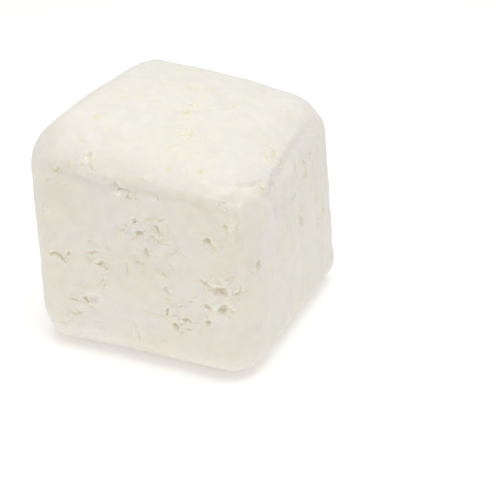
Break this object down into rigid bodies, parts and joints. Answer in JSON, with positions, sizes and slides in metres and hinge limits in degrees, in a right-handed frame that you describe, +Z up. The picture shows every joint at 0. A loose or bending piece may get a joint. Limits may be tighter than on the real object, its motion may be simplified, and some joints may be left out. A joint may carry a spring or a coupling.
{
  "type": "brynza cheese block",
  "caption": "Uncut block of white brined brynza cheese with soft corners, a rolled upper lip, open curd gaps and a flat base to rest on.",
  "frame": {"origin": "on the base plane, under the middle of the block's box", "axes": "+X along the front face towards its right, +Y from the front face to the back, +Z up"},
  "size_m": [0.1036, 0.106, 0.0987],
  "materials": {
    "pressed_curd": "satin, moist, slightly translucent warm white curd"
  },
  "bodies": {
    "root": {"brynza_block": "pressed_curd"}
  },
  "joints": []
}
